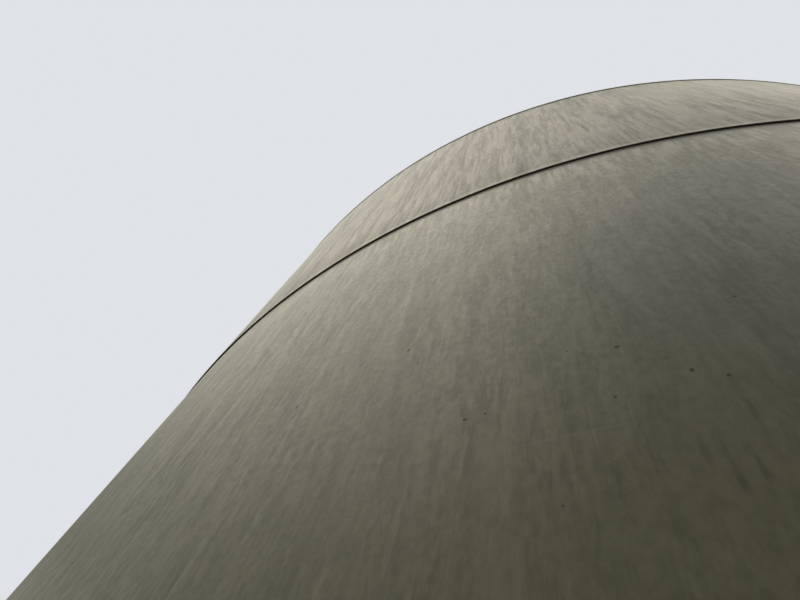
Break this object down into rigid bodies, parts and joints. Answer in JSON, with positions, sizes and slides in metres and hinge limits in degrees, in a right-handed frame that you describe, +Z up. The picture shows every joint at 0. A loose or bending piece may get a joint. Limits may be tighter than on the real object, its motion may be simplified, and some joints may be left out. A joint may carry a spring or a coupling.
{
  "type": "hopper bottom grain bin",
  "caption": "Smooth-wall steel grain bin with a conical roof, a hopper bottom on legs, a slide gate, a skid and ladders.",
  "frame": {"origin": "on the ground under the middle of the bin", "axes": "+Z up the bin's axis, +X towards the ladder and along the skid runners, -Y towards the plain wall"},
  "size_m": [4.9, 4.2798, 5.632],
  "materials": {
    "wall_paint": "weathered satin paint",
    "hopper_paint": "satin paint",
    "roof_paint": "chalky weathered paint",
    "frame_paint": "satin paint with worn edges",
    "galvanised": "dull galvanised",
    "sealant": "matt black sealant",
    "window_plastic": "hazy clear plastic"
  },
  "bodies": {
    "root": {"skid_runner_left": "frame_paint", "skid_runner_right": "frame_paint", "skid_cross_front": "frame_paint", "skid_cross_rear": "frame_paint", "base_ring": "frame_paint", "leg_1": "frame_paint", "leg_2": "frame_paint", "leg_3": "frame_paint", "leg_4": "frame_paint", "leg_5": "frame_paint", "leg_6": "frame_paint", "leg_7": "frame_paint", "leg_8": "frame_paint", "cross_brace_1": "frame_paint", "cross_brace_2": "frame_paint", "cross_brace_3": "frame_paint", "cross_brace_4": "frame_paint", "hopper_sheet_1": "hopper_paint", "hopper_sheet_2": "hopper_paint", "hopper_sheet_3": "hopper_paint", "hopper_sheet_4": "hopper_paint", "hatch_frame": "frame_paint", "hatch_cover": "frame_paint", "discharge_spout": "frame_paint", "gate_frame": "galvanised", "gate_blade": "galvanised", "gate_wheel": "galvanised", "lower_wall_1": "wall_paint", "lower_wall_2": "wall_paint", "lower_wall_3": "wall_paint", "upper_wall_1": "wall_paint", "upper_wall_2": "wall_paint", "upper_wall_3": "wall_paint", "seam_sealant": "sealant", "level_window_lower": "window_plastic", "level_window_upper": "window_plastic", "roof_sheet_1": "roof_paint", "roof_sheet_2": "roof_paint", "roof_sheet_3": "roof_paint", "roof_sheet_4": "roof_paint", "roof_vent": "galvanised", "fill_collar": "frame_paint", "fill_lid": "roof_paint", "wall_ladder": "galvanised", "roof_ladder": "galvanised"}
  },
  "joints": []
}
